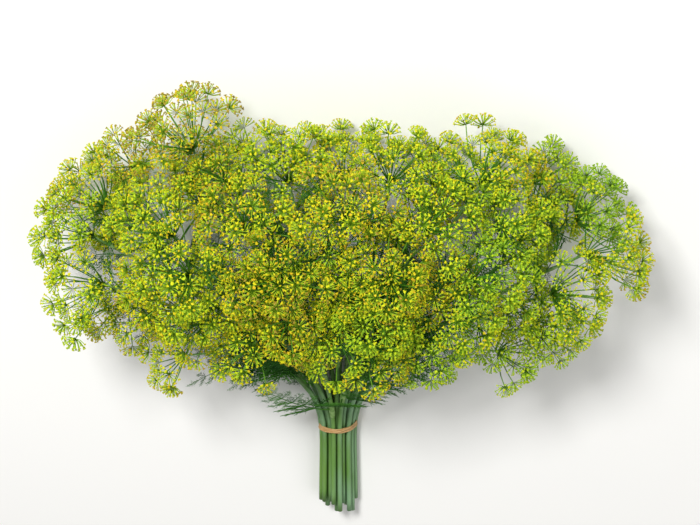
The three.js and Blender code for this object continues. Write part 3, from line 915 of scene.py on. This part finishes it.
# Petals and disc of a floret: dull and waxy. They open lime green, turn yellow and then gold, and brown at
# last as the seed sets. A floret's tone sets its age, which also drifts over a hand's breadth.
RIPENESS_PATCH = 110 * MM
RIPENESS_DRIFT = 0.7
PETAL_GRAIN = 0.6 * MM
AGES = [(0.2, "#90b424"), (0.48, "#bcd01c"), (0.76, "#d8ce18"), (0.96, "#cca81c"), (1, "#a08c30")]
petal_skin, tree, shader = surface("dill floret petals", IOR=1.4, Specular_IOR_Level=0.25)
grained(tree, shader, PETAL_GRAIN, (0.57, 0.73), 0.1 * MM)
where = add(tree, "ShaderNodeTexCoord").outputs["Object"]
tone = add(tree, "ShaderNodeAttribute", attribute_name="tone").outputs["Fac"]
drift = add(tree, "ShaderNodeTexNoise", {0: where, "Scale": 1 / RIPENESS_PATCH, "Detail": 1}).outputs["Fac"]
age = add(tree, "ShaderNodeMath", {0: drift, 1: RIPENESS_DRIFT, 2: tone}, operation="MULTIPLY_ADD").outputs[0]
petal = add(tree, "ShaderNodeValToRGB", {0: age}, AGES).outputs[0]
tree.links.new(petal, shader.inputs["Base Color"])

# Skin of the pedicels: fresh green threads, limp and a little shiny, which turn lime towards the floret and
# yellow with the head's age.
pedicel_skin, tree, shader = surface("dill pedicels", IOR=1.4, Specular_IOR_Level=0.25)
grained(tree, shader, PETAL_GRAIN, (0.52, 0.68), 0.1 * MM)
where = add(tree, "ShaderNodeTexCoord").outputs["Object"]
share = add(tree, "ShaderNodeAttribute", attribute_name="share").outputs["Fac"]
tone = add(tree, "ShaderNodeAttribute", attribute_name="tone").outputs["Fac"]
drift = add(tree, "ShaderNodeTexNoise", {0: where, "Scale": 1 / RIPENESS_PATCH, "Detail": 1}).outputs["Fac"]
age = add(tree, "ShaderNodeMath", {0: drift, 1: tone}, operation="ADD", use_clamp=True).outputs[0]
green = add(tree, "ShaderNodeValToRGB", {0: share}, [(0, "#74b02c"), (1, "#9cc82c")]).outputs[0]
lime = add(tree, "ShaderNodeValToRGB", {0: share}, [(0, "#8cba28"), (1, "#c0d028")]).outputs[0]
mixed = add(tree, "ShaderNodeMix", {BLEND: age, FIRST: green, SECOND: lime}, data_type="RGBA").outputs[2]
tree.links.new(mixed, shader.inputs["Base Color"])


def add_floret(bm, tip, heading, size, petals):
    """A floret on a pedicel's tip: a low ball whose equator is drawn out into petals, which turn up."""
    share = bm.verts.layers.float["share"]
    tone = bm.verts.layers.float["tone"]
    turned = (UP.rotation_difference(heading) @ Quaternion(UP, chance.uniform(0, 2))).to_matrix().to_4x4()
    spot = Matrix.Translation(tip + heading * size * PAST_TIP) @ turned
    ball = bmesh.ops.create_uvsphere(bm, u_segments=petals * 2, v_segments=2, radius=size, matrix=spot)
    age = chance.random()
    back = spot.inverted()
    for vert in ball["verts"]:
        vert[tone] = age * FLORET_AGES
        vert[share] = 1
        local = back @ vert.co
        if abs(local.z) > size / 2:
            local.z *= DISC_HIGH if local.z > 0 else DISC_DEEP
        else:
            on_petal = round(math.atan2(local.y, local.x) / math.pi * petals) % 2
            local *= 1 if on_petal else NOTCH
            local.z += size * (PETAL_UP if on_petal else NOTCH_UP)
        vert.co = spot @ local
    for face in {f for v in ball["verts"] for f in v.link_faces}:
        face.material_index = 1


def umbellet_mesh(name, pedicels, petals):
    """An umbellet that reaches 1 from its origin, with Z up its middle."""
    bm = bmesh.new()
    share = bm.verts.layers.float.new("share")
    bm.verts.layers.float.new("tone")
    for k in range(pedicels):
        outward = math.sqrt((k + 0.6) / pedicels)
        polar = SPREAD * outward * chance.uniform(*SPREAD_VARIES)
        turn = k * GOLDEN + chance.uniform(-SPREAD_TURNS, SPREAD_TURNS)
        length = PEDICEL_LONG - PEDICEL_SHORTER * chance.random() - INNER_SHORTER * (1 - outward ** 2)
        tip = direction(polar, turn) * length
        if petals == PETALS and outward > BENT_FROM:
            middle = direction(polar + BEND * outward, turn) * tip.length * 0.5
            line = [direction(polar, turn) * PEDICEL_START, middle, tip]
            grow(bm, line, [PEDICEL_FOOT, PEDICEL_TIP, PEDICEL_TIP], THREAD_SIDES, share)
            heading = (tip - middle).normalized()
        else:
            heading = tip.normalized()
            for vert in spike(bm, tip, Vector(), PEDICEL_WIDE):
                vert[share] = vert.co.length
        size = FLORET * chance.uniform(*FLORET_VARIES) * (BUD_SIZE if k < BUDS else 1)
        add_floret(bm, tip, heading, size, petals)
    for face in bm.faces:
        face.smooth = face.material_index == 0
    mesh = bpy.data.meshes.new(name)
    bm.to_mesh(mesh)
    bm.free()
    return mesh


full_umbellets = [umbellet_mesh(f"umbellet_{n}", PEDICELS, PETALS) for n in range(VARIANTS)]
light_umbellets = [
    umbellet_mesh(f"light_umbellet_{n}", LIGHT_PEDICELS, LIGHT_PETALS) for n in range(VARIANTS)]


def add_umbellets(bm, hub, rays, meshes, ripe):
    """An umbellet at the end of each ray, which faces away from the hub."""
    tone = bm.verts.layers.float["tone"]
    for end, reach in rays:
        turn = UP.rotation_difference(end - hub) @ Quaternion(UP, chance.uniform(0, ANY_WAY))
        made = put(bm, chance.choice(meshes), Matrix.LocRotScale(end, turn, Vector((reach,) * 3)))
        for vert in made:
            vert[tone] += ripe


def light_rays(tips):
    """The ends of rays that carry a light umbellet, and how far it reaches from there."""
    return [(end, FILL_REACH * chance.uniform(*FILL_VARIES)) for end in tips]


def ripeness(hub):
    """How ripe the head at a hub is."""
    if hub.x < OLD_HEADS[0] and hub.y > OLD_HEADS[1]:
        return OLD_RIPE
    right = LESS_TO_THE_RIGHT * max(0, hub.x)
    left = LESS_TO_THE_LEFT * max(0, LEFT_FROM - hub.x)
    top = LESS_TO_THE_TOP * max(0, hub.y - TOP_FROM)
    return RIPE - right - left - top + chance.uniform(*RIPE_VARIES)


def new_head():
    """An empty mesh with the two layers that the florets' materials read."""
    bm = bmesh.new()
    bm.verts.layers.float.new("tone")
    bm.verts.layers.float.new("share")
    return bm


def add_florets(name, bm, *nodes):
    """Finishes a piece of umbellets."""
    keep_above_floor(bm.verts)
    add_piece(name, bm, [pedicel_skin, petal_skin], "umbel_yellow", *nodes)


for node, (hub, rays) in umbels.items():
    bm = new_head()
    ripe = ripeness(hub)
    add_umbellets(bm, hub, rays, full_umbellets, ripe)
    add_umbellets(bm, hub, light_rays(fill[node]), light_umbellets, ripe)
    add_florets(node + "_florets", bm, node)

for number in range(YOUNG_PIECES):
    bm = new_head()
    for hub, _, tips in young_heads[number::YOUNG_PIECES]:
        add_umbellets(bm, hub, light_rays(tips), light_umbellets, ripeness(hub))
    add_florets(f"young_umbels_{number + 1}_florets", bm)

# ---- Rubber band
# A tan natural-rubber band, wound four times round the stems where they are bundled. The last turn crosses
# back over the others. It is stretched tight, so it lies straight from one outer stem to the next.
BAND_TURNS = 4
BAND_WIDE = 2.4 * MM
BAND_THICK = 1.4 * MM
BAND_PITCH = 2.2 * MM
BAND_STEPS = 44
BAND_SIDES = 8
BAND_STRAYS = 0.3 * MM
STRAY_STEP = 0.31
CROSS_FROM = 0.25
CROSS_OVER = 0.5
ON_FLOOR = 0.1 * MM

# Natural rubber, cut from an extruded tube: tan, slightly glossy, and clouded where its talc still clings, in
# specks of a few millimetres.
TALC = 2.5 * MM
band_rubber, tree, shader = surface("natural rubber band", IOR=1.52)
grained(tree, shader, TALC, (0.4, 0.6), 0.2 * MM)
where = add(tree, "ShaderNodeTexCoord").outputs["Object"]
dust = add(tree, "ShaderNodeTexNoise", {0: where, "Scale": 1 / TALC, "Detail": 3}).outputs["Fac"]
tan = add(tree, "ShaderNodeValToRGB", {0: dust}, [(0.3, "#b98f58"), (0.7, "#cfa871")]).outputs[0]
tree.links.new(tan, shader.inputs["Base Color"])


def band_outline():
    """The loop round the tied stems, from the middle of its flat underside, and each point's way outwards."""
    corners = [v.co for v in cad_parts["tie_band"].data.vertices]
    corners = [corners[i] for i in convex_hull_2d([c.xz for c in corners])]
    flat = next(i for i, c in enumerate(corners) if c.z < ON_FLOOR and corners[i - 1].z < ON_FLOOR)
    start = (corners[flat] + corners[flat - 1]) / 2
    loop = [Vector((c.x, 0, c.z)) for c in [start] + corners[flat:] + corners[:flat] + [start]]
    loop = evened(loop, BAND_STEPS + 1)
    outwards = []
    for i in range(BAND_STEPS):
        way = (loop[i + 1] - loop[i - 1 if i else BAND_STEPS - 1]).cross(Vector((0, 1, 0))).normalized()
        outwards.append(way if way.dot(loop[i] - middle_of(loop)) > 0 else -way)
    return loop[:-1], outwards


tie_low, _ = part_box("tie_band")
loop, outwards = band_outline()
path = []
ways = []
for k in range(BAND_TURNS * BAND_STEPS + 1):
    turn, at = divmod(k, BAND_STEPS)
    across = BAND_PITCH * min(k / BAND_STEPS, BAND_TURNS - 1)
    lift = 0
    if turn == BAND_TURNS - 1:
        over = min(max((at / BAND_STEPS - CROSS_FROM) / CROSS_OVER, 0), 1)
        # The cross-over eases out of its turn and into the first one.
        across -= BAND_PITCH * (BAND_TURNS - 1) * over * over * (3 - 2 * over)
        lift = BAND_THICK * math.sin(math.pi * over) ** 0.5
    if turn == BAND_TURNS:
        across = 0
    across += tie_low.y + BAND_WIDE / 2 + BAND_STRAYS * math.sin(k * STRAY_STEP)
    path.append(loop[at] + outwards[at] * (lift - BAND_THICK / 2) + Vector((0, across, 0)))
    ways.append(outwards[at])
bm = bmesh.new()
rings = grow(bm, path, [BAND_WIDE / 2] * len(path), BAND_SIDES)
for ring, spot, way in zip(rings, path, ways):
    for vert in ring:
        vert.co -= way * (vert.co - spot).dot(way) * (1 - BAND_THICK / BAND_WIDE)
keep_above_floor(bm.verts, 0)
for face in bm.faces:
    face.smooth = True
add_piece("rubber_band", bm, [band_rubber], "tie_rubber", "tie_band")

# ---- Floor
# A plain pale floor under the bunch, painted and matt. It reaches six metres each way, well past what the
# camera sees.
FLOOR_REACH = 6
floor_paint, tree, shader = surface("pale matt floor", Roughness=0.9)
shader.inputs["Base Color"].default_value = srgb("#f2f1ee")
bm = bmesh.new()
bmesh.ops.create_grid(bm, x_segments=1, y_segments=1, size=FLOOR_REACH)
mesh = bpy.data.meshes.new("floor")
bm.to_mesh(mesh)
bm.free()
mesh.materials.append(floor_paint)
floor = bpy.data.objects.new("floor", mesh)
bpy.context.scene.collection.objects.link(floor)

# ---- Lights
# Plain soft studio light: a key light from up past the heads, on the left, a wide weak one from the right,
# and a white surround. Each light is a place and a width in metres, and a power in watts.
KEY_LIGHT = ((-0.75, 1.75, 2.1), 0.7, 80)
FILL_LIGHT = ((1.3, -0.5, 1.5), 1.4, 9)
LIT = Vector((0, 0.08, 0.08))
SURROUND = 0.33
bpy.context.scene.view_settings.view_transform = "Standard"
world = bpy.data.worlds.new("studio")
bpy.context.scene.world = world
world.use_nodes = True
world.node_tree.nodes["Background"].inputs["Color"].default_value = srgb("#ffffff")
world.node_tree.nodes["Background"].inputs["Strength"].default_value = SURROUND


def add_light(name, at, size, power):
    """A square soft light that faces the bunch."""
    light = bpy.data.lights.new(name, "AREA")
    light.size = size
    light.energy = power
    lamp = bpy.data.objects.new(name, light)
    lamp.location = at
    lamp.rotation_mode = "QUATERNION"
    lamp.rotation_quaternion = (LIT - Vector(at)).to_track_quat("-Z", "Y")
    bpy.context.scene.collection.objects.link(lamp)


add_light("key", *KEY_LIGHT)
add_light("fill", *FILL_LIGHT)

# ---- Camera
# It looks down on the laid bunch, a little from the heads' end, and its frame is 700 by 525 pixels. The
# middle of the heads lies at a set pixel of that frame, where a pixel is a set size on the bunch.
TILT = math.radians(25)
AWAY = 1.7
PIXEL = 1.2 * MM
FRAME_WIDTH = 700
FRAME_MIDDLE = (350, 262.5)
HEADS_PIXEL = (342, 288)
HEADS = Vector((0, 0.06, 0.1))
SENSOR = 36
FAR_CLIP = 30
towards = Vector((0, math.sin(TILT), math.cos(TILT)))
upwards = Vector((0, math.cos(TILT), -math.sin(TILT)))
rightwards = Vector(((FRAME_MIDDLE[0] - HEADS_PIXEL[0]) * PIXEL, 0, 0))
aim = HEADS + rightwards + upwards * (HEADS_PIXEL[1] - FRAME_MIDDLE[1]) * PIXEL
camera = bpy.data.cameras.new("camera")
camera.sensor_width = SENSOR
camera.lens = SENSOR * AWAY / (FRAME_WIDTH * PIXEL)
camera.clip_end = FAR_CLIP
eye = bpy.data.objects.new("camera", camera)
turned = Matrix((Vector((1, 0, 0)), upwards, towards)).transposed().to_4x4()
eye.matrix_world = Matrix.Translation(aim + towards * AWAY) @ turned
bpy.context.scene.collection.objects.link(eye)
bpy.context.scene.camera = eye
